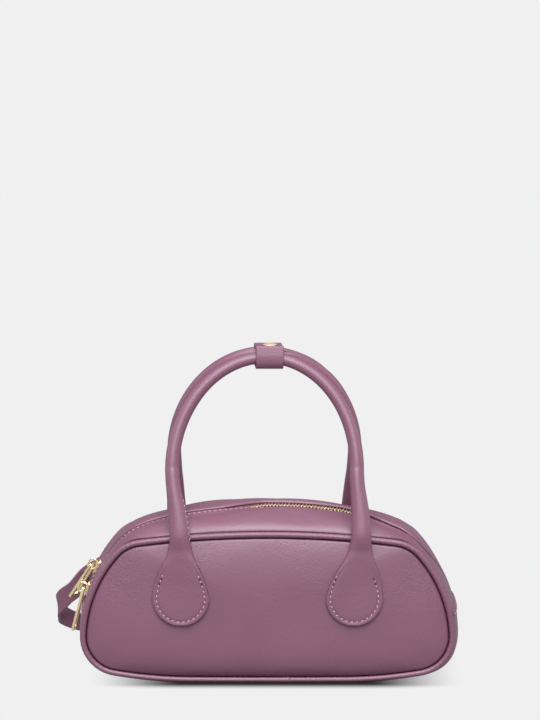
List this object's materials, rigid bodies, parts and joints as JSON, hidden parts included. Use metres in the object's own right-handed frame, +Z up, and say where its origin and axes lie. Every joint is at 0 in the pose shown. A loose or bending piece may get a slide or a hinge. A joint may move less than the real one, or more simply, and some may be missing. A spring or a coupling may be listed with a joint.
{
  "type": "crossbody bag",
  "caption": "Small leather bowling bag with piped panels, a zip over the top, arched tube handles held by a keeper, and a shoulder strap.",
  "frame": {"origin": "middle of the flat base, on the floor", "axes": "+Z up, -Y out of the front panel, +X to the right of the front"},
  "size_m": [0.2689, 0.401, 0.2188],
  "materials": {
    "leather": "fine-grained mauve leather with a soft sheen",
    "gold_metal": "polished pale gold plating",
    "zip_tape": "woven tape, dyed to match the leather"
  },
  "bodies": {
    "bag": {"front_panel": "leather", "back_panel": "leather", "front_piping": "leather", "back_piping": "leather", "zip_strip_front": "leather", "zip_strip_back": "leather", "base_gusset": "leather", "front_handle": "leather", "back_handle": "leather", "handle_keeper": "leather", "shoulder_strap": "leather", "strap_tab_left": "leather", "strap_tab_right": "leather", "zip_chain": "gold_metal", "zip_slider_upper": "gold_metal", "zip_slider_lower": "gold_metal", "keeper_stud": "gold_metal", "strap_ring_left": "gold_metal", "strap_ring_right": "gold_metal", "zip_tape_front": "zip_tape", "zip_tape_back": "zip_tape"},
    "upper_pull": {"zip_pull_upper": "gold_metal"},
    "lower_pull": {"zip_pull_lower": "gold_metal"}
  },
  "joints": [
    {"name": "upper_pull_swing", "type": "hinge", "parent": "bag", "child": "upper_pull", "pos_m": [-0.11526, 0, 0.06974], "axis": [0, 1, 0], "range_deg": [0, 97]},
    {"name": "lower_pull_swing", "type": "hinge", "parent": "bag", "child": "lower_pull", "pos_m": [-0.12129, 0, 0.05384], "axis": [0, 1, 0], "range_deg": [0, 25]}
  ]
}
